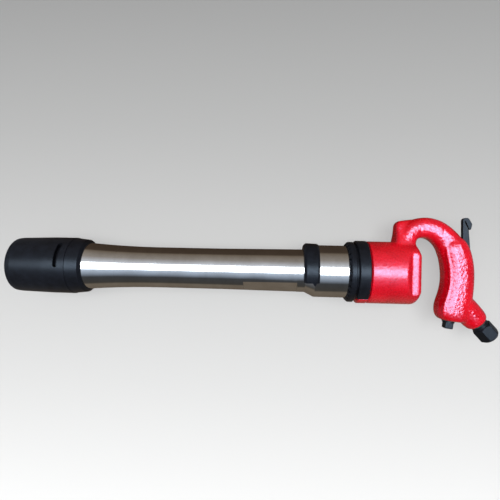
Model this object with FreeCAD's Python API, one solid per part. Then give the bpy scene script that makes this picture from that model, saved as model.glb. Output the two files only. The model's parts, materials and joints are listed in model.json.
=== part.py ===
"""Pneumatic long-stroke riveting / chipping hammer, lying on its side.

X runs along the barrel from the nose to the handle, +Y is the side of the handle's arch,
+Z is up.  The origin is the centre of the tool opening, at the retainer's front face.
All sizes are millimetres.  Every function returns one separate physical piece.
"""
import FreeCAD, Part
import math
import os

V = FreeCAD.Vector

# ---------------------------------------------------------------- driving dimensions
STROKE = 279.4                 # 11 inch hammer
PISTON_R = 15.0
PISTON_LENGTH = 109.0
PISTON_END_GAP = 0.8           # left at each end of the stroke
OIL_GROOVES = 4
OIL_GROOVE_X = 30.0            # first groove, from the piston's front face
OIL_GROOVE_STEP = 14.0
OIL_GROOVE_WIDTH = 1.2
OIL_GROOVE_DEPTH = 0.6
RUN = 0.05                     # radial clearance of a running fit
SEAT = 0.02                    # radial clearance of a fixed fit
BIG = 60.0                     # reach of a cutting tool that only has to be big enough

# nose
OPENING_R = 20.0               # tool passes through the retainer's front wall
NOSE_WALL = 10.0
BUMPER_X = (10.0, 20.0)
WASHER_X = (20.0, 24.0)
CAVITY_R = 30.0
BUSHING_X = 36.0               # mouth of the tool shank bore
BUSHING_R = 20.5
SHANK_R = 15.55                # takes a 31 mm cylindrical shank
CYLINDER_X = 84.0              # the shank bore ends and the cylinder begins
BARREL_NOSE_X = 42.0
LAND_R = 31.0                  # the retainer turns on this land
NOSE_R = 36.1                  # retainer's front rim
SLEEVE_FRONT_R = 36.9
SLEEVE_REAR_R = 38.2
SLEEVE_END_X = 81.4
COLLAR_X = (81.52, 101.0)
COLLAR_FRONT_R = 37.7
COLLAR_REAR_R = 35.9
COLLAR_CHAMFER_X = 97.6
COLLAR_END_R = 32.6
SLOT_X = (66.8, 73.2)          # feed slot of the lock wire
SLOT_ANGLES = (-48.0, -3.0)    # from +Z towards -Y
WIRE_X = (67.5, 72.5)
WIRE_R = (29.4, 33.4)

# barrel
FLARE_R = 31.5
FLARE_END_X = 200.0
TUBE_R = 27.3
SWELL_X = 280.0
CONE_X = (392.5, 404.5)
CONE_FRONT_R = 28.3
BULK_R = 34.3
SHOULDER_X = 445.5
THREAD_R = 33.0
FLAT_X = (313.0, 382.5)
FLAT_HEIGHT = 24.6             # wrench flat's distance from the axis
FLAT_TILT = 60.0               # its normal, from +Z towards -Y
PORT_X = 398.5
PORT_R = 3.5
PORT_COUNT = 5                 # all under the deflector
PORT_STEP = 45.0
SCORE_X = 143.4                # fine line turned round the flare
SCORE_WIDTH = 0.8
SCORE_R = 28.55
BAND_X = (390.5, 410.0)        # exhaust deflector
BAND_R = 36.8
BAND_GAP_HALF = 67.0           # half angle of the deflector's gap, about -Y

# joint between barrel and handle
LOCK_RING_X = (446.0, 455.0)
LOCK_RING_R = 39.6
LOCK_RING_NOTCHES = 28
NECK_X = 459.2
NECK_R = 37.4
CLIP_X = (457.8, 471.9)
CLIP_R = 41.2
CLIP_GAP_HALF = 36.0           # half angle of the clip's gap, about -Y
LUG_HALF = 34.0
GROOVE_END_X = 473.3

# valve block, behind the barrel's rear face
VALVE_X = CYLINDER_X + STROKE + PISTON_LENGTH + 2 * PISTON_END_GAP
VALVE_R = 32.4
FRONT_PLATE = 10.0
REAR_BOX = 30.0
GASKET = 2.0
SPOOL_FLANGE_R = 22.0
SPOOL_STEM_R = 16.0
SPOOL_FLANGE = 5.5
SPOOL_LENGTH = 18.5
SPOOL_GAP = 0.3
SPOOL_TRAVEL = 4.5
VALVE_MID_X = VALVE_X + FRONT_PLATE
VALVE_END_X = VALVE_MID_X + REAR_BOX
AIR_HOLE_R = 2.2
PIN_DEPTH = 10.0
PIN_CIRCLE_R = 27.5
PIN_R = 2.5

# handle casting
BODY_R = 40.6
BODY_END_X = 535.8             # back wall, in front of the fingers
SOCKET_R = THREAD_R + SEAT
CHAMBER_R = 14.0
CHAMBER_DEPTH = 12.0
REAR_FLAT_Z = 30.5
REAR_FLAT_X = 522.5            # where the sloping shoulder reaches the flat
SHOULDER_TOP_X = 515.2
GOOSENECK = 14.5               # half thickness of the arch
GRIP = 18.5                    # half thickness of the grip
GRIP_ROWS = [                  # inner edge, outer edge and half thickness, downwards
    ((572.0, 42.5), (587.0, 49.0), 11.0),
    ((567.5, 38.0), (594.2, 45.8), 16.0),
    ((566.6, 30.5), (599.4, 40.0), GRIP - 0.5),
    ((568.8, 19.0), (605.2, 26.5), GRIP),
    ((571.4, 2.0), (608.8, 4.0), GRIP),
    ((571.1, -14.0), (608.8, -13.0), GRIP),
    ((567.9, -28.0), (607.6, -29.0), GRIP),
    ((564.1, -43.0), (604.5, -47.0), GRIP),
    ((565.3, -53.5), (602.0, -58.0), GRIP - 1.0),
    ((570.0, -58.6), (596.5, -62.0), GRIP - 6.0)]
CREASE_INSET = 5.6             # ridge on the grip, in from its inner edge
CREASE_HEIGHT = 0.70           # share of the grip's half thickness
CREASE_R = 3.0
PITS_X = (475.6, 492.4)        # two small sand pits in the casting's side
PIT_Y = -16.3
PIT_R = 0.9
PIT_FLOOR_Z = 36.0
AIR_WAY_R = 5.0
INLET_WAY_R = 6.0

# throttle, on an axis that leans back from +Y
THROTTLE_FOOT = V(580.5, -62.0, 0)
THROTTLE_LEAN = 7.0
THROTTLE_BORE_R = 8.0
PLUG_THREAD_R = 8.6
SQUARE = 10.5
ROD_R = 2.5
PLUG_THREAD_END = 14.0
SQUARE_LENGTH = 8.8
VALVE_HEAD_T = (38.0, 44.0)
SEAT_T = 46.0
SEAT_RING = 3.0
GUIDE_T = (54.0, 76.0)
GUIDE_R = 5.0
GUIDE_FLANGE = 2.0
GUIDE_FLANGE_R = 6.2
GLAND_R = 4.75
LEVER_PIVOT = V(600.0, 18.5, 0)
LEVER_HALF = 3.0
LEVER_EDGE = 0.6               # rounding along the bar's edges
SLOT_HALF = 3.5
LEVER_PIN_R = 2.5
PIN_STOP_Z = 12.0              # the pin hole is blind on the upper side
SLOT_BACK_X = 586.0
EYE_R = 5.8
TOE = V(-9.2, 6.5, 0)          # centre of the lever's toe, from its pivot
TOE_R = 3.0
TOE_GAP = 0.05
SPRING_WIRE_R = 0.6
SPRING_COIL_R = 5.4
SPRING_TURNS = 6

# air inlet, on an axis that points down and back
INLET_FACE = V(617.9, -62.8, 0)
INLET_SLOPE = -47.0
INLET_BOSS_R = 15.2
HEX_FLATS = 22.7
HEX_LENGTH = 21.4
HEX_END_R = 9.4
NPT_R = 7.35                   # 3/8 inch pipe thread
NPT_LENGTH = 15.0
SPIGOT_R = 9.0
SPIGOT_LENGTH = 14.0
SEAL_GAP = 1.2                 # sealing ring between boss and bushing
NECK_GAP = 3.8                 # from the boss to the hexagon
NECK_COLLAR_R = 10.6
STRAINER_R = 5.6
STRAINER_FLANGE_R = 6.9
STRAINER_FLANGE = 0.9
STRAINER_WALL = 0.6
STRAINER_START = -12.0         # closed end, from the hexagon's front face
STRAINER_HOLE_R = 0.9
STRAINER_ROWS = 5
STRAINER_ROW_STEP = 3.2
STRAINER_HOLES = 8             # in each row
HEX_EDGE = 1.2                 # rounding of the hexagon's long edges

AXIS_X = V(1, 0, 0)
LEAN = math.radians(THROTTLE_LEAN)
THROTTLE_AXIS = V(math.sin(LEAN), math.cos(LEAN), 0)
SLOPE = math.radians(INLET_SLOPE)
INLET_AXIS = V(math.cos(SLOPE), math.sin(SLOPE), 0)


# ---------------------------------------------------------------- geometry helpers
def outline(points):
    """Closed wire in the XY plane from (x, y) or (x, y, corner radius) points."""
    count = len(points)
    corners = []
    for i, point in enumerate(points):
        here = V(point[0], point[1], 0)
        radius = point[2] if len(point) > 2 else 0.0
        if radius == 0.0:
            corners.append((here, None, here))
            continue
        back = (V(*points[i - 1][:2], 0) - here).normalize()
        ahead = (V(*points[(i + 1) % count][:2], 0) - here).normalize()
        half = back.getAngle(ahead) / 2
        reach = radius / math.tan(half)
        middle = (back + ahead).normalize() * (radius / math.sin(half) - radius)
        corners.append((here + back * reach, here + middle, here + ahead * reach))
    edges = []
    for i, (start, middle, end) in enumerate(corners):
        if middle is not None:
            edges.append(Part.Arc(start, middle, end).toShape())
        following = corners[(i + 1) % count][0]
        if end.distanceToPoint(following) > 1e-6:
            edges.append(Part.LineSegment(end, following).toShape())
    return Part.Wire(edges)


def place(shape, origin, direction):
    """Moves a piece built along +X from the origin to start elsewhere and point elsewhere."""
    move = FreeCAD.Placement(origin, FreeCAD.Rotation(AXIS_X, direction))
    shape.Placement = move.multiply(shape.Placement)
    return shape


def turned(points, origin=V(0, 0, 0), direction=AXIS_X):
    """Solid of revolution about +X from (x, radius[, corner radius]) points, then placed."""
    face = Part.Face(outline(points))
    solid = face.revolve(V(0, 0, 0), AXIS_X, 360)
    return place(solid, origin, direction)


def tube(start, end, inner, outer, edge=0.0, origin=V(0, 0, 0), direction=AXIS_X):
    """Ring or sleeve whose outer edges are rounded."""
    points = [(start, inner), (end, inner), (end, outer, edge), (start, outer, edge)]
    return turned(points, origin, direction)


def rod(start, end, radius, origin=V(0, 0, 0), direction=AXIS_X):
    return Part.makeCylinder(radius, end - start, origin + direction * start, direction)


def plate(points, half):
    """Flat piece, symmetric about Z = 0, from its outline in the XY plane."""
    face = Part.Face(outline(points))
    solid = face.extrude(V(0, 0, 2 * half))
    solid.translate(V(0, 0, -half))
    return solid


def face_edges(solid, height):
    """Edges that lie in one of the two faces at Z = +height and Z = -height."""
    chosen = []
    for edge in solid.Edges:
        box = edge.BoundBox
        if box.ZLength < 0.01 and abs(abs(box.ZMin) - height) < 0.01:
            chosen.append(edge)
    return chosen


def sector(start_angle, end_angle, x_range):
    """Wedge about the barrel axis; angles are measured from +Z towards -Y."""
    wedge = Part.makeCylinder(BIG, x_range[1] - x_range[0], V(0, 0, 0), V(0, 0, 1),
                              end_angle - start_angle)
    wedge.rotate(V(0, 0, 0), V(0, 0, 1), start_angle + 180)
    wedge.rotate(V(0, 0, 0), V(0, 1, 0), 90)
    wedge.translate(V(x_range[0], 0, 0))
    return wedge


def around(shape, count, start=0.0, step=None):
    """Copies of a cutting tool round the barrel axis, evenly spaced unless a step is given."""
    copies = []
    for i in range(count):
        copy = shape.copy()
        copy.rotate(V(0, 0, 0), AXIS_X, start + i * (step or 360.0 / count))
        copies.append(copy)
    return copies


def section(inner, outer, half, corner=0.8):
    """Rounded rectangle across the handle, between its inner and outer edge points."""
    across = V(outer[0] - inner[0], outer[1] - inner[1], 0)
    centre = V((outer[0] + inner[0]) / 2, (outer[1] + inner[1]) / 2, 0)
    wide = across.Length / 2
    across.normalize()
    radius = corner * min(wide, half)
    wire = outline([(-wide, -half, radius), (wide, -half, radius),
                    (wide, half, radius), (-wide, half, radius)])
    along = across.cross(V(0, 0, 1))
    turn = FreeCAD.Matrix(across.x, 0, along.x, centre.x,
                          across.y, 0, along.y, centre.y,
                          0, 1, 0, 0,
                          0, 0, 0, 1)
    wire.transformShape(turn)
    return wire


def loft(rows, corner=0.8):
    """Smooth solid through (inner point, outer point, half thickness) sections."""
    wires = [section(inner, outer, half, corner) for inner, outer, half in rows]
    return Part.makeLoft(wires, True, False)


def drilled(points, radius):
    """Air way made of straight drillings with ball-ended corners."""
    tools = []
    for start, end in zip(points, points[1:]):
        run = end - start
        tools.append(Part.makeCylinder(radius, run.Length, start, run))
    for corner in points[1:-1]:
        tools.append(Part.makeSphere(radius, corner))
    return tools


def on_throttle(distance):
    return THROTTLE_FOOT + THROTTLE_AXIS * distance


def on_inlet(distance):
    return INLET_FACE + INLET_AXIS * distance


def throttle_ring(start, end, inner, outer, edge=0.0):
    return tube(start, end, inner, outer, edge, THROTTLE_FOOT, THROTTLE_AXIS)


def o_ring(distance, centre_radius, wire_radius, origin, direction):
    return Part.makeTorus(centre_radius, wire_radius, origin + direction * distance, direction)


# ---------------------------------------------------------------- nose
def retainer_sleeve():
    """Turns freely on the barrel's nose; its slot feeds the lock wire."""
    groove = (WIRE_X[0] - 0.2, WIRE_X[1] + 0.2)
    groove_r = WIRE_R[1] + 0.3
    bore = LAND_R + RUN
    body = turned([
        (0, OPENING_R), (NOSE_WALL, OPENING_R), (NOSE_WALL, CAVITY_R),
        (BUSHING_X - 4, CAVITY_R), (BUSHING_X - 4, bore), (groove[0], bore),
        (groove[0], groove_r), (groove[1], groove_r), (groove[1], bore),
        (SLEEVE_END_X, bore), (SLEEVE_END_X, SLEEVE_REAR_R, 0.2), (52, SLEEVE_REAR_R, 90),
        (7, SLEEVE_FRONT_R, 12), (0, NOSE_R, 1.8)])
    half_slot = (SLOT_X[1] - SLOT_X[0]) / 2
    middle = V((SLOT_X[0] + SLOT_X[1]) / 2, 0, 0)
    ends = []
    for angle in SLOT_ANGLES:
        turn = math.radians(angle)
        ends.append(Part.makeCylinder(half_slot, BIG, middle, V(0, -math.sin(turn), math.cos(turn))))
    slot = sector(SLOT_ANGLES[0], SLOT_ANGLES[1], SLOT_X).fuse(ends)
    return body.cut(slot.cut(rod(SLOT_X[0] - 1, SLOT_X[1] + 1, groove_r - 1)))


def rubber_bumper():
    return tube(BUMPER_X[0], BUMPER_X[1], OPENING_R + 1.0, CAVITY_R - 0.2, 1.5)


def bumper_washer():
    return tube(WASHER_X[0], WASHER_X[1], OPENING_R - 0.5, CAVITY_R - 0.2, 0.6)


def retainer_lock_wire():
    """Flat wire wound into the groove that the barrel and the sleeve share."""
    ring = tube(WIRE_X[0], WIRE_X[1], WIRE_R[0], WIRE_R[1], 1.4)
    return ring.cut(sector(106, 114, (WIRE_X[0] - 1, WIRE_X[1] + 1)))


def retainer_collar():
    """Chamfered stop ring behind the sleeve."""
    return turned([(COLLAR_X[0], LAND_R + SEAT), (COLLAR_X[1], LAND_R + SEAT),
                   (COLLAR_X[1], COLLAR_END_R), (COLLAR_CHAMFER_X, COLLAR_REAR_R, 1),
                   (COLLAR_X[0], COLLAR_FRONT_R, 0.2)])


def nose_bushing():
    """Hardened bushing that guides the tool's shank."""
    return turned([(BUSHING_X, SHANK_R), (CYLINDER_X, SHANK_R), (CYLINDER_X, BUSHING_R, 1),
                   (BARREL_NOSE_X, BUSHING_R), (BARREL_NOSE_X, CAVITY_R - 0.5, 0.5),
                   (BUSHING_X, CAVITY_R - 0.5, 1)])


# ---------------------------------------------------------------- barrel group
def barrel():
    """One forging: nose land, long flare, tube, exhaust cone and threaded rear end."""
    bore = PISTON_R + RUN
    lining = BUSHING_R + SEAT
    start = COLLAR_X[1] + SEAT
    run = FLARE_END_X - start
    drop = FLARE_R - TUBE_R
    flare_radius = (run * run + drop * drop) / (2 * drop)
    middle_r = TUBE_R + flare_radius - math.sqrt(flare_radius ** 2 - run * run / 4)
    flare = Part.Arc(V(start, FLARE_R, 0), V(FLARE_END_X - run / 2, middle_r, 0),
                     V(FLARE_END_X, TUBE_R, 0)).toShape()
    corners = [
        (FLARE_END_X, TUBE_R), (SWELL_X, TUBE_R), (CONE_X[0], CONE_FRONT_R),
        (CONE_X[1], BULK_R), (SHOULDER_X, BULK_R), (SHOULDER_X, THREAD_R),
        (VALVE_X, THREAD_R), (VALVE_X, bore), (CYLINDER_X, bore), (CYLINDER_X, lining),
        (BARREL_NOSE_X, lining), (BARREL_NOSE_X, LAND_R - 1.5), (BARREL_NOSE_X + 1.5, LAND_R),
        (WIRE_X[0] - SEAT, LAND_R), (WIRE_X[0] - SEAT, WIRE_R[0] - SEAT),
        (WIRE_X[1] + SEAT, WIRE_R[0] - SEAT), (WIRE_X[1] + SEAT, LAND_R),
        (start, LAND_R), (start, FLARE_R)]
    edges = [flare]
    for near, far in zip(corners, corners[1:]):
        edges.append(Part.LineSegment(V(*near, 0), V(*far, 0)).toShape())
    body = Part.Face(Part.Wire(edges)).revolve(V(0, 0, 0), AXIS_X, 360)
    flat = Part.makeBox(FLAT_X[1] - FLAT_X[0], 2 * BIG, BIG, V(FLAT_X[0], -BIG, FLAT_HEIGHT))
    flat.rotate(V(0, 0, 0), AXIS_X, FLAT_TILT)
    port = Part.makeCylinder(PORT_R, BIG, V(PORT_X, 0, 0), V(0, 0, 1))
    score = tube(SCORE_X, SCORE_X + SCORE_WIDTH, SCORE_R, BIG)
    tools = (around(flat, 2) + around(port, PORT_COUNT, 180.0, PORT_STEP)
             + dowel_holes(VALVE_X - PIN_DEPTH, VALVE_X))
    return body.cut(tools + [score])


def piston():
    """Solid hammer piston with oil grooves."""
    start = CYLINDER_X + PISTON_END_GAP
    end = start + PISTON_LENGTH
    points = [(start, 0), (start, PISTON_R - 3), (start + 3, PISTON_R)]
    for i in range(OIL_GROOVES):
        near = start + OIL_GROOVE_X + i * OIL_GROOVE_STEP
        far = near + OIL_GROOVE_WIDTH
        floor = PISTON_R - OIL_GROOVE_DEPTH
        points += [(near, PISTON_R), (near, floor), (far, floor), (far, PISTON_R)]
    points += [(end - 2, PISTON_R), (end, PISTON_R - 2), (end, 0)]
    return turned(points)


def exhaust_deflector():
    """Open spring band over the exhaust ports, with a pointed tongue at each end."""
    front, rear = BAND_X
    seat = BULK_R + SEAT
    band = turned([(front, CONE_FRONT_R + 0.3), (CONE_X[0], CONE_FRONT_R + 0.5),
                   (CONE_X[1], BULK_R + 0.4), (CONE_X[1], seat), (rear, seat),
                   (rear, seat + 0.9), (rear - 2.5, seat + 1.9, 2), (front + 3, BAND_R, 3),
                   (front, BAND_R - 3, 1)])
    band = band.cut(sector(90 - BAND_GAP_HALF, 90 + BAND_GAP_HALF, (front - 1, rear + 1)))
    point = plate([(CONE_X[1] - 5, -12), (CONE_X[1] + 3, -12), (CONE_X[1], -18.5, 0.6)], BIG)
    return band.fuse(point.common(tube(CONE_X[0], rear, seat, seat + 1.4)))


# ---------------------------------------------------------------- joint of barrel and handle
def lock_ring():
    """Notched nut that jams against the handle's neck."""
    spigot_end = NECK_X - 0.1
    ring = turned([(LOCK_RING_X[0], THREAD_R + SEAT), (spigot_end, THREAD_R + SEAT),
                   (spigot_end, NECK_R - 1), (LOCK_RING_X[1], NECK_R - 1),
                   (LOCK_RING_X[1], LOCK_RING_R, 0.8), (LOCK_RING_X[0] + 3, LOCK_RING_R, 2.5),
                   (LOCK_RING_X[0], LOCK_RING_R - 2.8, 0.5)])
    notch = Part.makeBox(2.4, 3.0, 6.0, V(LOCK_RING_X[0] - 0.2, -1.5, BULK_R))
    return ring.cut(around(notch, LOCK_RING_NOTCHES))


def lock_ring_clip():
    """Open clip whose gap holds the handle's lug."""
    band = turned([(CLIP_X[0], NECK_R + 0.1), (CLIP_X[1], NECK_R + 0.1), (CLIP_X[1], CLIP_R, 1.2),
                   (CLIP_X[0], CLIP_R, 1.8)])
    return band.cut(sector(90 - CLIP_GAP_HALF, 90 + CLIP_GAP_HALF, (CLIP_X[0] - 1, CLIP_X[1] + 1)))


# ---------------------------------------------------------------- valve block
def dowel_holes(start, end):
    return around(rod(start, end, PIN_R + SEAT, V(0, PIN_CIRCLE_R, 0)), 2)


def air_holes(start, end):
    """Ports round the valve block, between the two dowels."""
    return around(rod(start, end, AIR_HOLE_R, V(0, PIN_CIRCLE_R, 0)), 6, 30)


def valve_box_front():
    disc = tube(VALVE_X, VALVE_MID_X, 9.0, VALVE_R, 0.8)
    return disc.cut(air_holes(VALVE_X, VALVE_MID_X) + dowel_holes(VALVE_X, VALVE_MID_X))


def valve_box_rear():
    flange_end = VALVE_MID_X + SPOOL_GAP + SPOOL_FLANGE + SPOOL_TRAVEL + 1.5
    stem_end = VALVE_END_X - 4.0
    box = turned([(VALVE_MID_X, SPOOL_FLANGE_R + RUN), (flange_end, SPOOL_FLANGE_R + RUN),
                  (flange_end, SPOOL_STEM_R + RUN), (stem_end, SPOOL_STEM_R + RUN),
                  (stem_end, 8.0), (VALVE_END_X, 8.0), (VALVE_END_X, VALVE_R, 0.8),
                  (VALVE_MID_X, VALVE_R, 0.8)])
    return box.cut(air_holes(VALVE_MID_X, VALVE_END_X)
                   + dowel_holes(VALVE_MID_X, VALVE_MID_X + PIN_DEPTH))


def valve_spool():
    """Flanged sleeve that shuttles to send air to either end of the piston."""
    start = VALVE_MID_X + SPOOL_GAP
    flange_end = start + SPOOL_FLANGE
    end = start + SPOOL_LENGTH
    return turned([(start, 8.0, 0.5), (end, 8.0, 0.5), (end, SPOOL_STEM_R, 0.8),
                   (flange_end, SPOOL_STEM_R), (flange_end, SPOOL_FLANGE_R, 0.5),
                   (start, SPOOL_FLANGE_R, 0.5)])


def valve_dowel_pins():
    """The two pins that line up the barrel and both valve boxes."""
    pin = turned([(VALVE_X - PIN_DEPTH, 0), (VALVE_X - PIN_DEPTH, PIN_R, 0.6),
                  (VALVE_MID_X + PIN_DEPTH, PIN_R, 0.6), (VALVE_MID_X + PIN_DEPTH, 0)],
                 V(0, PIN_CIRCLE_R, 0))
    return Part.makeCompound(around(pin, 2))


def valve_gasket():
    return tube(VALVE_END_X, VALVE_END_X + GASKET, 20.0, VALVE_R)


# ---------------------------------------------------------------- handle
def handle_body():
    """Round socket that screws on the barrel, with a flat behind it on both sides."""
    body = turned([(NECK_X, 0), (NECK_X, NECK_R, 0.6), (GROOVE_END_X, NECK_R),
                   (GROOVE_END_X, BODY_R, 1.2), (BODY_END_X, BODY_R, 8), (BODY_END_X, 0)])
    upper = plate([(SHOULDER_TOP_X, BODY_R), (REAR_FLAT_X, REAR_FLAT_Z, 2),
                   (BODY_END_X, REAR_FLAT_Z, 5), (BODY_END_X, 1), (BODY_END_X + 5, 1),
                   (BODY_END_X + 5, BIG), (SHOULDER_TOP_X, BIG)], BIG)
    upper.rotate(V(0, 0, 0), AXIS_X, 90)
    lower = upper.mirror(V(0, 0, 0), V(0, 0, 1))
    lug = tube(NECK_X + 0.6, CLIP_X[1], NECK_R - 1, BODY_R + 0.3, 1.0)
    lug = lug.common(sector(90 - LUG_HALF, 90 + LUG_HALF, CLIP_X))
    return body.cut([upper, lower]).fuse(lug)


def handle_arch():
    """Gooseneck: rises out of the body, bends over the fingers and runs down into the grip."""
    return loft([
        ((532.5, 22.0), (511.5, 24.0), 17.5),
        ((533.8, 34.5), (511.0, 38.0), 17.0),
        ((535.0, 41.0), (513.6, 50.0), 16.0),
        ((537.2, 44.6), (521.0, 63.0), 15.2),
        ((542.0, 46.2), (535.5, 71.4), GOOSENECK),
        ((548.3, 45.8), (552.0, 72.7), GOOSENECK),
        ((555.7, 41.7), (568.0, 68.2), GOOSENECK),
        ((563.7, 32.0), (585.6, 55.2), GOOSENECK + 0.5),
        ((568.4, 19.5), (598.5, 39.0), GOOSENECK + 0.5)])


def handle_block():
    """Square-shouldered boss on the body, in the corner behind the gooseneck's root."""
    return loft([
        ((530.0, 70.2), (514.6, 68.2), 4.5),
        ((531.0, 67.5), (510.4, 65.0), 8.0),
        ((531.0, 60.0), (509.2, 59.0), 10.5),
        ((532.0, 45.0), (508.8, 45.0), 15.0),
        ((533.0, 35.0), (508.6, 35.0), 19.0),
        ((534.0, 26.0), (508.3, 26.0), 23.0),
        ((534.0, 12.0), (508.3, 12.0), 25.0)], 0.4)


def handle_grip():
    return loft(GRIP_ROWS)


def handle_crease(side):
    """Rounded ridge along the grip's inner flank, on the upper or the lower side."""
    wires = []
    for inner, outer, half in GRIP_ROWS[1:-1]:
        across = (V(*outer, 0) - V(*inner, 0)).normalize()
        centre = V(*inner, side * half * CREASE_HEIGHT) + across * CREASE_INSET
        wires.append(Part.Wire(Part.makeCircle(CREASE_R, centre, across.cross(V(0, 0, 1)))))
    return Part.makeLoft(wires, True, False)


def handle_inlet_boss():
    return turned([(-46.0, 0), (-46.0, INLET_BOSS_R - 3), (-28.0, INLET_BOSS_R + 1.2, 40),
                   (-9.0, INLET_BOSS_R + 0.4, 20), (0, INLET_BOSS_R - 1.5, 5), (0, 0)],
                  INLET_FACE, INLET_AXIS)


def handle_hollows():
    """Socket, throttle bore, lever slot, air ways and pin hole, as cutting tools."""
    socket_end = VALVE_END_X + GASKET
    guide = GUIDE_T
    air_way = [on_throttle(51), V(578, 20, 0), V(571, 42, 0), V(556, 56.5, 0), V(540, 58.5, 0),
               V(522.5, 55.5, 0), V(522.5, 8, 0)]
    slot = plate([(SLOT_BACK_X, 19.2), (593.4, 19.2), (593.4, 11.0), (640, 11.0), (640, 90),
                  (SLOT_BACK_X, 90)], SLOT_HALF)
    tools = [
        rod(NECK_X - 1, socket_end, SOCKET_R),
        rod(socket_end, socket_end + CHAMBER_DEPTH, CHAMBER_R),
        rod(-20, 14, PLUG_THREAD_R + SEAT, THROTTLE_FOOT, THROTTLE_AXIS),
        rod(0, SEAT_T + SEAT_RING, THROTTLE_BORE_R, THROTTLE_FOOT, THROTTLE_AXIS),
        rod(SEAT_T, guide[0] + GUIDE_FLANGE, GUIDE_FLANGE_R, THROTTLE_FOOT, THROTTLE_AXIS),
        rod(SEAT_T, guide[1] + 8, GUIDE_R + SEAT, THROTTLE_FOOT, THROTTLE_AXIS),
        slot,
        rod(-SPIGOT_LENGTH - 1, 20, SPIGOT_R + SEAT, INLET_FACE, INLET_AXIS),
        Part.makeCylinder(LEVER_PIN_R + SEAT, BIG + PIN_STOP_Z, LEVER_PIVOT - V(0, 0, BIG)),
    ]
    tools += drilled([on_inlet(-51), on_inlet(-SPIGOT_LENGTH)], INLET_WAY_R)
    tools += drilled(air_way, AIR_WAY_R)
    for at in PITS_X:
        tools.append(Part.makeCylinder(PIT_R, BIG, V(at, PIT_Y, PIT_FLOOR_Z)))
    return tools


def handle():
    """The red casting: body, block, arch, grip and inlet boss in one piece."""
    grip = handle_grip().fuse([handle_crease(1), handle_crease(-1)])
    solid = handle_body().fuse([handle_block(), handle_arch(), grip, handle_inlet_boss()])
    return solid.cut(handle_hollows())


# ---------------------------------------------------------------- throttle
def throttle_lever():
    """Bar with a curled thumb end, a pivot eye and a toe that presses the push rod."""
    bar = plate([(596.0, 27.0), (595.2, 73.2, 3.8), (602.4, 73.4, 3), (607.4, 65.5, 4),
                 (605.7, 58.0, 1.5), (603.0, 58.0), (605.3, 33.0), (604.6, 20.0), (598.0, 17.0)], LEVER_HALF)
    bar = bar.makeFillet(LEVER_EDGE, face_edges(bar, LEVER_HALF))
    curl = plate([(597.2, 68.6), (602.6, 57.4), (604.2, 58.0), (598.6, 69.6, 0.8)], BIG)
    toe = LEVER_PIVOT + TOE
    web = plate([(toe.x - 1.0, toe.y + 2.8), (596.5, 36.0), (603.0, 36.0), (602.0, 18.0),
                 (toe.x + 5.0, toe.y - 2.6), (toe.x + 1.0, toe.y - 2.7)], LEVER_HALF)
    down = V(0, 0, -LEVER_HALF)
    solids = [web, Part.makeCylinder(TOE_R, 2 * LEVER_HALF, toe + down),
              Part.makeCylinder(EYE_R, 2 * LEVER_HALF, LEVER_PIVOT + down)]
    lever = bar.cut(curl).fuse(solids)
    return lever.cut(Part.makeCylinder(LEVER_PIN_R + RUN, 2 * BIG, LEVER_PIVOT - V(0, 0, BIG)))


def lever_pin():
    """Driven in from below until it meets the end of its hole."""
    low = 2.0 - GRIP
    high = PIN_STOP_Z - 0.2
    return turned([(low, 0), (low, LEVER_PIN_R, 0.5), (high, LEVER_PIN_R, 0.5), (high, 0)],
                  LEVER_PIVOT, V(0, 0, 1))


def toe_contact():
    """Distance along the throttle axis at which the lever's toe meets the push rod."""
    touch = LEVER_PIVOT + TOE - THROTTLE_AXIS * TOE_R
    return (touch - THROTTLE_FOOT).dot(THROTTLE_AXIS)


def throttle_pushrod():
    top = toe_contact() - TOE_GAP
    return turned([(VALVE_HEAD_T[0] + 2, 0), (VALVE_HEAD_T[0] + 2, ROD_R), (top, ROD_R, 0.4),
                   (top, 0)], THROTTLE_FOOT, THROTTLE_AXIS)


def throttle_guide():
    """Brass guide of the push rod, with a flange and a ring gland at the lower end."""
    start, end = GUIDE_T
    flange_r = GUIDE_FLANGE_R - SEAT
    return turned([(start, GLAND_R), (start + 2.4, GLAND_R), (start + 2.4, ROD_R + RUN),
                   (end, ROD_R + RUN), (end, GUIDE_R, 0.5), (start + GUIDE_FLANGE, GUIDE_R),
                   (start + GUIDE_FLANGE, flange_r), (start, flange_r)],
                  THROTTLE_FOOT, THROTTLE_AXIS)


def pushrod_seal():
    return o_ring(GUIDE_T[0] + 1.2, 3.65, 1.0, THROTTLE_FOOT, THROTTLE_AXIS)


def throttle_seat():
    return throttle_ring(SEAT_T, SEAT_T + SEAT_RING, 4.2, THROTTLE_BORE_R - SEAT)


def throttle_valve():
    """Poppet head with a stub that centres the spring."""
    start, end = VALVE_HEAD_T
    head = turned([(start - 5, 0), (start - 5, 3.8, 0.6), (start, 3.8), (start, 6.8, 0.5),
                   (end, 6.8, 0.5), (end, 0)], THROTTLE_FOOT, THROTTLE_AXIS)
    return head.cut(rod(start + 2, end + 1, ROD_R, THROTTLE_FOOT, THROTTLE_AXIS))


def throttle_valve_seal():
    return throttle_ring(VALVE_HEAD_T[1], SEAT_T - 0.02, ROD_R + SEAT, 6.6, 0.3)


def throttle_spring():
    """Compression spring between the plug and the poppet."""
    low = PLUG_THREAD_END + SPRING_WIRE_R + 0.05
    high = VALVE_HEAD_T[0] - SPRING_WIRE_R - 0.05
    height = high - low
    path = Part.makeHelix(height / SPRING_TURNS, height, SPRING_COIL_R)
    start = V(SPRING_COIL_R, 0, 0)
    circle = Part.Wire(Part.makeCircle(SPRING_WIRE_R, start, V(0, 1, 0)))
    coil = Part.Wire(path).makePipeShell([circle], True, True)
    coil.rotate(V(0, 0, 0), V(0, 1, 0), 90)
    return place(coil, on_throttle(low), THROTTLE_AXIS)


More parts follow.
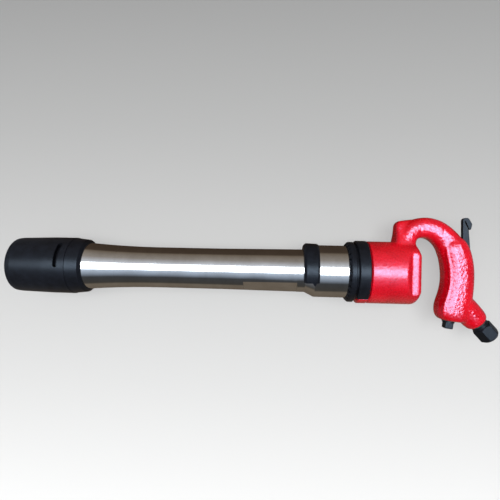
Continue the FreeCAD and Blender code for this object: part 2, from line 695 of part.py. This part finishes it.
def throttle_plug():
    """Square-headed plug that closes the foot of the throttle bore."""
    thread = turned([(-1.0, 0), (-1.0, PLUG_THREAD_R - 1.2), (2.6, PLUG_THREAD_R - 1.2),
                     (2.6, PLUG_THREAD_R), (PLUG_THREAD_END, PLUG_THREAD_R, 0.8),
                     (PLUG_THREAD_END, 0)], THROTTLE_FOOT, THROTTLE_AXIS)
    head = Part.makeBox(SQUARE_LENGTH, SQUARE, SQUARE, V(-SQUARE_LENGTH, -SQUARE / 2, -SQUARE / 2))
    head = head.makeFillet(1.2, head.Edges)
    return place(head, THROTTLE_FOOT, THROTTLE_AXIS).fuse(thread)


def plug_seal():
    return o_ring(1.4, PLUG_THREAD_R - 0.62, 0.55, THROTTLE_FOOT, THROTTLE_AXIS)


# ---------------------------------------------------------------- air inlet
def inlet_bushing():
    """Hexagon hose bushing with a female pipe thread and a threaded spigot."""
    corner = HEX_FLATS / math.sqrt(3)
    points = []
    for i in range(6):
        angle = math.radians(60 * i)
        points.append(V(0, corner * math.cos(angle), corner * math.sin(angle)))
    hexagon = Part.Face(Part.makePolygon(points + points[:1])).extrude(V(HEX_LENGTH, 0, 0))
    long_edges = [edge for edge in hexagon.Edges if abs(edge.tangentAt(0).x) > 0.9]
    hexagon = hexagon.makeFillet(HEX_EDGE, long_edges)
    blank = turned([(0, 0), (0, HEX_END_R, 1), (3.4, corner + 0.2, 3),
                    (HEX_LENGTH - 4.4, corner + 0.2, 3), (HEX_LENGTH, HEX_END_R, 1),
                    (HEX_LENGTH, 0)])
    spigot = rod(-SPIGOT_LENGTH - NECK_GAP, 1.0, SPIGOT_R)
    collar = rod(SEAL_GAP - NECK_GAP, 1.0, NECK_COLLAR_R)
    thread_end = HEX_LENGTH - NPT_LENGTH
    hollows = [rod(thread_end, HEX_LENGTH + 1, NPT_R),
               rod(thread_end - STRAINER_FLANGE, thread_end + 1, STRAINER_FLANGE_R + 0.1),
               rod(-BIG, BIG, STRAINER_R + 0.1)]
    bushing = hexagon.common(blank).fuse([spigot, collar]).cut(hollows)
    return place(bushing, on_inlet(NECK_GAP), INLET_AXIS)


def inlet_strainer():
    """Perforated thimble that keeps grit out of the throttle."""
    end = HEX_LENGTH - NPT_LENGTH - 0.1
    flange = end - STRAINER_FLANGE + 0.1
    inside = STRAINER_R - STRAINER_WALL
    floor = STRAINER_START + STRAINER_WALL
    cup = turned([(STRAINER_START, 0), (STRAINER_START, STRAINER_R, 1), (flange, STRAINER_R),
                  (flange, STRAINER_FLANGE_R), (end, STRAINER_FLANGE_R), (end, inside),
                  (floor, inside), (floor, 0)])
    holes = []
    half_pitch = 180.0 / STRAINER_HOLES
    for row in range(STRAINER_ROWS):
        at = STRAINER_START + 3 + row * STRAINER_ROW_STEP
        hole = Part.makeCylinder(STRAINER_HOLE_R, BIG, V(at, 0, 0), V(0, 0, 1))
        holes += around(hole, STRAINER_HOLES, half_pitch * (row % 2))
    return place(cup.cut(holes), on_inlet(NECK_GAP), INLET_AXIS)


def inlet_seal():
    """Sealing ring round the bushing's neck, against the boss."""
    return tube(0.05, SEAL_GAP - 0.05, SPIGOT_R + 0.05, NECK_COLLAR_R, 0.4, INLET_FACE, INLET_AXIS)


PIECES = [
    retainer_sleeve, rubber_bumper, bumper_washer, retainer_lock_wire, retainer_collar,
    nose_bushing, barrel, piston, exhaust_deflector, lock_ring, lock_ring_clip,
    valve_box_front, valve_box_rear, valve_spool, valve_dowel_pins, valve_gasket,
    handle, throttle_lever, lever_pin, throttle_pushrod, throttle_guide, pushrod_seal,
    throttle_seat, throttle_valve, throttle_valve_seal, throttle_spring, throttle_plug,
    plug_seal, inlet_bushing, inlet_strainer, inlet_seal,
]

os.makedirs("parts", exist_ok=True)
for piece in PIECES:
    shape = piece()
    shape.exportStep("parts/" + piece.__name__ + ".step")
    print("%-22s solids %d  volume %9.1f  valid %s"
          % (piece.__name__, len(shape.Solids), shape.Volume, shape.isValid()))
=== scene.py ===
"""Looks of the long-stroke pneumatic hammer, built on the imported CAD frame."""

import json
import math

import bpy
from mathutils import Matrix, Vector


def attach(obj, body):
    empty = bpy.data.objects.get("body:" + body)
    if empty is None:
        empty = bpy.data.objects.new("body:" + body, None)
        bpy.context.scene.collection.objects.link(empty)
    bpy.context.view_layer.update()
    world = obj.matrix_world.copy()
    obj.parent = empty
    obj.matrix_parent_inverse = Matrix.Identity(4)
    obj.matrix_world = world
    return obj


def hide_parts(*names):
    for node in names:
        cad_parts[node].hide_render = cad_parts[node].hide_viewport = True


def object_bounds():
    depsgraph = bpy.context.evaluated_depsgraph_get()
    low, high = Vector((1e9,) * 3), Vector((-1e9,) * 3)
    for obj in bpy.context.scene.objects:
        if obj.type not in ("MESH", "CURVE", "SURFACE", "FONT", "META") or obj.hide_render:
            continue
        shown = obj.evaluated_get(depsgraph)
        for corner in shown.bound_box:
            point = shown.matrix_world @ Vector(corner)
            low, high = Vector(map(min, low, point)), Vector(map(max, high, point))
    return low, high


# camera
CAMERA_PLACE = (0.3524, 0.0261, 0.519)
CAMERA_SWING = 3.6             # degrees about the row's Y axis
CAMERA_ROLL = 1.17             # degrees about its own line of sight
CAMERA_LENS = 27.8
SENSOR = 36.0

# casting
VOXEL = 0.0007
JOIN_PASSES = 70               # smoothing where the block, arch, grip and inlet boss meet
CAST_PASSES = 7                # smoothing all over
RELAX_FACTOR = 0.5             # of each pass
LEAST_WEIGHT = 0.01            # smaller smoothing weights are left out
JOIN_FADE = 0.5                # width of a join's soft edge, as a share of its size

# paint, duller on the body than where hands polish it
GRIP_START = (0.536, 0.548)    # along X
ARCH_START = (0.040, 0.046)    # along Y
BODY_ROUGHNESS = (0.22, 0.32)
GRIP_ROUGHNESS = (0.05, 0.42)  # polished, and in the pits
BODY_PEEL = 0.22               # strength of the orange peel
GRIP_PEEL = 0.46
PIT_SPAN = (0.56, 0.63)        # noise at which a pit begins, and is fully dull
NOISE_SPAN = (0.3, 0.7)        # where nearly all of a noise's values lie

# floor, from the arch's side of the picture to the other
FLOOR_NEAR = 0.40
FLOOR_FAR = -0.36
# painted light on the floor: its glow and its colour go from grey to white across it
FLOOR_PAINTED_LIGHT = [(0.0, 0.304), (0.25, 0.407), (0.5, 0.528), (0.75, 0.658), (1.0, 0.810)]
FLOOR_GLOW = 0.80              # share of the floor's brightness that no shadow darkens
FLOOR_TINT = (1.0, 0.96, 0.90)
FLOOR_MIDDLE_X = 0.32          # about the middle of the hammer's length
FLOOR_GAP = 0.0002             # below the object
BACKDROP_R = 3.0
BACKDROP_GREY = (0.55, 0.55, 0.56, 1.0)

# sky bands about the barrel's axis: (degrees from straight up towards -Y, colour)
SKY = [
    (-180, (0.055, 0.036, 0.025)),
    (-92, (0.085, 0.060, 0.042)),
    (-84, (0.230, 0.185, 0.140)),
    (-50, (0.400, 0.360, 0.320)),
    (-36, (0.620, 0.620, 0.640)),
    (-21, (0.900, 0.950, 1.020)),
    (-14, (11.00, 11.50, 12.00)),
    (7, (11.00, 11.70, 12.50)),
    (15, (0.750, 0.880, 1.050)),
    (40, (0.330, 0.390, 0.480)),
    (54, (0.070, 0.074, 0.080)),
    (92, (0.075, 0.070, 0.062)),
    (104, (0.230, 0.190, 0.145)),
    (180, (0.140, 0.110, 0.085)),
]
# brightness of the bands along the barrel: (share of the way from -X to +X, brightness)
SKY_ALONG = [(0.0, 1.0), (0.61, 1.0), (0.64, 1.8), (1.0, 1.8)]
# where the bands show at all, between the two plain ends of the studio
SKY_BANDED = [(0.0, 0.0), (0.17, 0.0), (0.25, 1.0), (0.69, 1.0), (0.73, 0.0), (1.0, 0.0)]
SKY_END = (0.20, 0.21, 0.23, 1.0)

# sockets of Blender's Mix node, by data type
MIX_FACTOR = 0
MIX_VALUE_A = 2
MIX_VALUE_B = 3
MIX_COLOUR_A = 6
MIX_COLOUR_B = 7
MIX_COLOUR_OUT = 2


# ---------------------------------------------------------------- material helpers
def ramp_node(tree, value, stops):
    """Colour ramp through (position, colour or grey) stops."""
    node = tree.nodes.new("ShaderNodeValToRGB")
    elements = node.color_ramp.elements
    while len(elements) < len(stops):
        elements.new(0.5)
    for element, (at, colour) in zip(elements, stops):
        element.position = at
        element.color = (*colour, 1.0) if isinstance(colour, tuple) else (colour,) * 3 + (1.0,)
    tree.links.new(value, node.inputs["Fac"])
    return node.outputs["Color"]


def range_node(tree, value, low, high, start=0.0, end=1.0):
    """`start` where the value is below `low`, `end` where it is above `high`."""
    node = tree.nodes.new("ShaderNodeMapRange")
    node.inputs["From Min"].default_value = low
    node.inputs["From Max"].default_value = high
    node.inputs["To Min"].default_value = start
    node.inputs["To Max"].default_value = end
    tree.links.new(value, node.inputs["Value"])
    return node.outputs["Result"]


def mix_node(tree, kind, first, second):
    """Mix node of colours, of the given blend type, between two outputs."""
    node = tree.nodes.new("ShaderNodeMix")
    node.data_type = "RGBA"
    node.blend_type = kind
    node.inputs[MIX_FACTOR].default_value = 1.0
    tree.links.new(first, node.inputs[MIX_COLOUR_A])
    tree.links.new(second, node.inputs[MIX_COLOUR_B])
    return node.outputs[MIX_COLOUR_OUT]


class Shader:
    """A material on one Principled shader, with short names for the nodes used here."""

    def __init__(self, name):
        self.material = bpy.data.materials.new(name)
        self.material.use_nodes = True
        self.tree = self.material.node_tree
        self.bsdf = self.tree.nodes["Principled BSDF"]
        self.coords = self.tree.nodes.new("ShaderNodeTexCoord").outputs["Object"]

    def add(self, kind, **settings):
        node = self.tree.nodes.new(kind)
        for key, value in settings.items():
            setattr(node, key, value)
        return node

    def link(self, output, socket):
        self.tree.links.new(output, socket)

    def stretched(self, scale):
        node = self.add("ShaderNodeMapping")
        node.inputs["Scale"].default_value = scale
        self.link(self.coords, node.inputs["Vector"])
        return node.outputs["Vector"]

    def noise(self, size, detail=3.0, roughness=0.5, vector=None):
        """Noise whose features are about `size` metres across."""
        node = self.add("ShaderNodeTexNoise")
        node.inputs["Scale"].default_value = 1.0 / size
        node.inputs["Detail"].default_value = detail
        node.inputs["Roughness"].default_value = roughness
        self.link(vector or self.coords, node.inputs["Vector"])
        return node.outputs["Fac"]

    def ramp(self, value, stops):
        return ramp_node(self.tree, value, stops)

    def multiply(self, first, second):
        return mix_node(self.tree, "MULTIPLY", first, second)

    def colour(self, output):
        self.link(output, self.bsdf.inputs["Base Color"])

    def roughness(self, value, low, high):
        self.link(self.between(value, *NOISE_SPAN, low, high), self.bsdf.inputs["Roughness"])

    def between(self, value, low, high, start=0.0, end=1.0):
        return range_node(self.tree, value, low, high, start, end)

    def larger(self, first, second):
        node = self.add("ShaderNodeMath", operation="MAXIMUM")
        self.link(first, node.inputs[0])
        self.link(second, node.inputs[1])
        return node.outputs[0]

    def blend(self, share, first, second):
        """`first` where the share is 0, `second` where it is 1."""
        node = self.add("ShaderNodeMix", data_type="FLOAT")
        self.link(share, node.inputs[MIX_FACTOR])
        self.link(first, node.inputs[MIX_VALUE_A])
        self.link(second, node.inputs[MIX_VALUE_B])
        return node.outputs[0]

    def bump(self, heights):
        """Adds (height output, depth in metres, strength or its output) bumps one on another."""
        normal = None
        for height, depth, strength in heights:
            node = self.add("ShaderNodeBump")
            node.inputs["Distance"].default_value = depth
            if isinstance(strength, float):
                node.inputs["Strength"].default_value = strength
            else:
                self.link(strength, node.inputs["Strength"])
            self.link(height, node.inputs["Height"])
            if normal is not None:
                self.link(normal, node.inputs["Normal"])
            normal = node.outputs["Normal"]
        self.link(normal, self.bsdf.inputs["Normal"])

    def fixed(self, **values):
        for name, value in values.items():
            self.bsdf.inputs[name.replace("_", " ")].default_value = value


# ---------------------------------------------------------------- materials
def red_paint():
    """Gloss paint over a sand casting, handled smooth on the grip and duller on the body."""
    s = Shader("red_paint")
    patches = s.ramp(s.noise(0.022, 4), [(0.32, (0.335, 0.0006, 0.0038)), (0.68, (0.455, 0.0012, 0.0068))])
    specks = s.ramp(s.noise(0.0017, 2, 0.6), [(0.26, (0.42, 0.38, 0.40)), (0.36, (1.0, 1.0, 1.0))])
    s.colour(s.multiply(patches, specks))
    split = s.add("ShaderNodeSeparateXYZ")
    s.link(s.coords, split.inputs[0])
    handled = s.larger(s.between(split.outputs["X"], *GRIP_START), s.between(split.outputs["Y"], *ARCH_START))
    dull = s.between(s.noise(0.0030, 4, 0.65), *NOISE_SPAN, *BODY_ROUGHNESS)
    glossy = s.between(s.noise(0.0030, 3, 0.65), *PIT_SPAN, *GRIP_ROUGHNESS)
    s.link(s.blend(handled, dull, glossy), s.bsdf.inputs["Roughness"])
    peel = s.between(handled, 0.0, 1.0, BODY_PEEL, GRIP_PEEL)
    s.bump([(s.noise(0.0080, 2), 0.0010, 0.22), (s.noise(0.0034, 2, 0.6), 0.0012, peel)])
    s.fixed(Specular_IOR_Level=0.72, IOR=1.55, Specular_Tint=(1.0, 0.62, 0.95, 1.0))
    return s.material


def black_oxide():
    """Oiled black finish over turned steel: fine tool lines and a slightly cloudy sheen."""
    s = Shader("black_oxide")
    cloud = s.noise(0.009, 4, 0.6)
    s.colour(s.ramp(cloud, [(0.3, (0.0036, 0.0036, 0.0044)), (0.7, (0.0062, 0.0066, 0.0090))]))
    s.roughness(s.noise(0.0022, 4, 0.7), 0.26, 0.40)
    lines = s.noise(0.0009, 2, 0.5, s.stretched((1.0, 0.02, 0.02)))
    s.bump([(lines, 0.00003, 0.5), (s.noise(0.0008, 3), 0.00003, 0.4)])
    s.fixed(Specular_IOR_Level=0.16, Specular_Tint=(0.66, 0.82, 1.0, 1.0))
    return s.material


def polished_steel():
    """Ground and polished barrel: fine rings round the axis and faint handling marks."""
    s = Shader("polished_steel")
    s.colour(s.ramp(s.noise(0.030, 5, 0.6), [(0.3, (0.52, 0.515, 0.51)), (0.7, (0.64, 0.645, 0.655))]))
    s.roughness(s.noise(0.0030, 5, 0.7, s.stretched((1.0, 0.12, 0.12))), 0.06, 0.13)
    rings = s.noise(0.0011, 3, 0.6, s.stretched((1.0, 0.015, 0.015)))
    s.bump([(rings, 0.000012, 0.5), (s.noise(0.012, 2), 0.00012, 0.12)])
    s.fixed(Metallic=1.0)
    return s.material


def ground_steel():
    s = Shader("ground_steel")
    s.colour(s.ramp(s.noise(0.006, 4), [(0.3, (0.30, 0.30, 0.31)), (0.7, (0.48, 0.48, 0.49))]))
    s.roughness(s.noise(0.0015, 4), 0.24, 0.40)
    s.bump([(s.noise(0.0007, 3, 0.6, s.stretched((1.0, 0.05, 0.05))), 0.00002, 0.5)])
    s.fixed(Metallic=1.0)
    return s.material


def brass():
    s = Shader("brass")
    s.colour(s.ramp(s.noise(0.005, 4), [(0.3, (0.50, 0.31, 0.09)), (0.7, (0.66, 0.44, 0.15))]))
    s.roughness(s.noise(0.0012, 3), 0.22, 0.38)
    s.bump([(s.noise(0.0006, 3), 0.00002, 0.5)])
    s.fixed(Metallic=1.0)
    return s.material


def rubber():
    s = Shader("rubber")
    s.colour(s.ramp(s.noise(0.004, 4), [(0.3, (0.012, 0.012, 0.012)), (0.7, (0.026, 0.025, 0.024))]))
    s.roughness(s.noise(0.0010, 4), 0.60, 0.80)
    s.bump([(s.noise(0.0006, 4), 0.00005, 0.6)])
    return s.material


def gasket_fibre():
    s = Shader("gasket_fibre")
    s.colour(s.ramp(s.noise(0.0006, 5), [(0.3, (0.10, 0.08, 0.06)), (0.7, (0.20, 0.17, 0.13))]))
    s.roughness(s.noise(0.0010, 3), 0.75, 0.90)
    s.bump([(s.noise(0.0004, 4), 0.00006, 0.6)])
    return s.material


# ---------------------------------------------------------------- geometry helpers
def paint(piece, material):
    piece.data.materials.clear()
    piece.data.materials.append(material)


def evaluated_copy(piece, name):
    """New object with the piece's modifiers applied."""
    bpy.context.view_layer.update()
    graph = bpy.context.evaluated_depsgraph_get()
    mesh = bpy.data.meshes.new_from_object(piece.evaluated_get(graph))
    made = bpy.data.objects.new(name, mesh)
    bpy.context.scene.collection.objects.link(made)
    return made


def stepped(piece, name):
    """Applies the piece's modifiers and removes the piece."""
    made = evaluated_copy(piece, name)
    bpy.data.objects.remove(piece)
    return made


def smoothed(piece, name, passes, weight=None):
    """Relaxes the mesh; weight(point) from 0 to 1 limits where."""
    modifier = piece.modifiers.new("relax", "SMOOTH")
    modifier.factor = RELAX_FACTOR
    modifier.iterations = passes
    if weight:
        group = piece.vertex_groups.new(name="relax")
        for vertex in piece.data.vertices:
            share = weight(vertex.co)
            if share > LEAST_WEIGHT:
                group.add([vertex.index], share, "REPLACE")
        modifier.vertex_group = "relax"
    return stepped(piece, name)


def near(point, centre, reach, fade):
    """1 inside an ellipsoid of half sizes `reach`, falling to 0 over the `fade` share beyond."""
    away = Vector([(point[i] - centre[i]) / reach[i] for i in range(3)]).length
    return max(0.0, min(1.0, (1.0 + fade - away) / fade))


# ---------------------------------------------------------------- casting
JOINS = [
    ((0.522, 0.036, 0.0), (0.020, 0.009, 0.040)),      # gooseneck's root on the body
    ((0.514, 0.058, 0.0), (0.010, 0.016, 0.022)),      # boss beside the gooseneck
    ((0.545, 0.056, 0.0), (0.022, 0.016, 0.024)),      # gooseneck's section, nearly an ellipse
    ((0.572, 0.043, 0.0), (0.016, 0.006, 0.022)),      # gooseneck into the grip
    ((0.602, -0.040, 0.0), (0.024, 0.024, 0.020)),     # grip into the inlet boss
]


def join_weight(point):
    return max(near(point, centre, reach, JOIN_FADE) for centre, reach in JOINS)


def casting(node):
    """The red casting, remeshed from the CAD solid so that its parts melt together."""
    piece = evaluated_copy(node, "casting_raw")
    remesh = piece.modifiers.new("remesh", "REMESH")
    remesh.mode = "VOXEL"
    remesh.voxel_size = VOXEL
    piece = stepped(piece, "casting_voxels")
    piece = smoothed(piece, "casting_joined", JOIN_PASSES, join_weight)
    piece = smoothed(piece, "handle_casting", CAST_PASSES)
    for polygon in piece.data.polygons:
        polygon.use_smooth = True
    return piece


# ---------------------------------------------------------------- stage
def sky_world():
    """Soft studio: one long bright box overhead, greys beside it, dark towards the floor."""
    world = bpy.data.worlds.new("studio")
    world.use_nodes = True
    tree = world.node_tree
    direction = tree.nodes.new("ShaderNodeTexCoord").outputs["Generated"]
    split = tree.nodes.new("ShaderNodeSeparateXYZ")
    tree.links.new(direction, split.inputs[0])
    flip = tree.nodes.new("ShaderNodeMath")
    flip.operation = "MULTIPLY"
    flip.inputs[1].default_value = -1.0
    tree.links.new(split.outputs["Y"], flip.inputs[0])
    angle = tree.nodes.new("ShaderNodeMath")
    angle.operation = "ARCTAN2"
    tree.links.new(flip.outputs[0], angle.inputs[0])
    tree.links.new(split.outputs["Z"], angle.inputs[1])
    round_share = range_node(tree, angle.outputs[0], -math.pi, math.pi)
    bands = ramp_node(tree, round_share, [((degrees + 180.0) / 360.0, colour) for degrees, colour in SKY])
    along_share = range_node(tree, split.outputs["X"], -1.0, 1.0)
    along = ramp_node(tree, along_share, SKY_ALONG)
    banded = ramp_node(tree, along_share, SKY_BANDED)
    lit = mix_node(tree, "MULTIPLY", bands, along)
    ends = tree.nodes.new("ShaderNodeMix")
    ends.data_type = "RGBA"
    ends.inputs[MIX_COLOUR_A].default_value = SKY_END
    tree.links.new(banded, ends.inputs[MIX_FACTOR])
    tree.links.new(lit, ends.inputs[MIX_COLOUR_B])
    tree.links.new(ends.outputs[MIX_COLOUR_OUT], tree.nodes["Background"].inputs["Color"])
    bpy.context.scene.world = world


def floor_material():
    """Pale paper that glows with painted light, from grey on the arch's side to white on the other."""
    s = Shader("floor_painted_glow")
    split = s.add("ShaderNodeSeparateXYZ")
    s.link(s.coords, split.inputs[0])
    share = s.between(split.outputs["Y"], FLOOR_NEAR, FLOOR_FAR)
    # painted light: the floor glows in the grey-to-white gradient
    s.link(s.ramp(share, FLOOR_PAINTED_LIGHT), s.bsdf.inputs["Emission Color"])
    lit = 1 - FLOOR_GLOW
    # the paper's colour carries the same painted gradient, for the share that lamps light
    paper = [(at, tuple(shade * lit * tint for tint in FLOOR_TINT)) for at, shade in FLOOR_PAINTED_LIGHT]
    s.colour(s.ramp(share, paper))
    s.fixed(Roughness=0.9, Specular_IOR_Level=0.0, Emission_Strength=FLOOR_GLOW)
    return s.material


def stage(lowest):
    bpy.ops.mesh.primitive_plane_add(size=2 * BACKDROP_R, location=(FLOOR_MIDDLE_X, 0.0, lowest))
    floor = bpy.context.object
    floor.name = "floor"
    floor.data.transform(floor.matrix_basis)
    floor.matrix_basis = Matrix.Identity(4)
    paint(floor, floor_material())
    floor.visible_glossy = False
    bpy.ops.mesh.primitive_uv_sphere_add(segments=64, ring_count=32, radius=BACKDROP_R)
    backdrop = bpy.context.object
    backdrop.name = "backdrop"
    grey = Shader("backdrop_paper")
    grey.fixed(Base_Color=(0.0, 0.0, 0.0, 1.0), Emission_Color=BACKDROP_GREY,
               Emission_Strength=1.0, Specular_IOR_Level=0.0)
    paint(backdrop, grey.material)
    backdrop.visible_diffuse = False
    backdrop.visible_glossy = False
    backdrop.visible_shadow = False
    backdrop.visible_transmission = False


def camera():
    data = bpy.data.cameras.new("camera")
    data.lens = CAMERA_LENS
    data.sensor_width = SENSOR
    data.clip_start = 0.01
    made = bpy.data.objects.new("camera", data)
    bpy.context.scene.collection.objects.link(made)
    swing = Matrix.Rotation(math.radians(CAMERA_SWING), 4, "Y")
    roll = Matrix.Rotation(math.radians(CAMERA_ROLL), 4, "Z")
    made.matrix_world = Matrix.Translation(CAMERA_PLACE) @ swing @ roll
    bpy.context.scene.camera = made


# ---------------------------------------------------------------- build
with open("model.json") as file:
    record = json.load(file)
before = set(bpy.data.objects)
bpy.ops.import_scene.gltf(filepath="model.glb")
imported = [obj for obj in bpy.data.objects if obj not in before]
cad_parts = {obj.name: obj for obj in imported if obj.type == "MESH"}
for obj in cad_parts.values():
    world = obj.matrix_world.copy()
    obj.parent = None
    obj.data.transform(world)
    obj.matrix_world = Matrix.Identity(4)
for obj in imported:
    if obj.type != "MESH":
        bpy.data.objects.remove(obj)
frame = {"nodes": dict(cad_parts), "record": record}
cad_low, cad_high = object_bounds()
nodes = frame["nodes"]
materials = {
    "red_paint": red_paint(),
    "black_oxide": black_oxide(),
    "polished_steel": polished_steel(),
    "ground_steel": ground_steel(),
    "brass": brass(),
    "rubber": rubber(),
    "gasket_fibre": gasket_fibre(),
}
for subpart in frame["record"]["subparts"]:
    node = nodes[subpart["node"]]
    paint(node, materials[subpart["material_slot"]])

handle = casting(nodes["handle"])
paint(handle, materials["red_paint"])
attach(handle, "hammer")
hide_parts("handle")

sky_world()
stage(cad_low.z - FLOOR_GAP)
camera()
bpy.context.scene.view_settings.view_transform = "Standard"
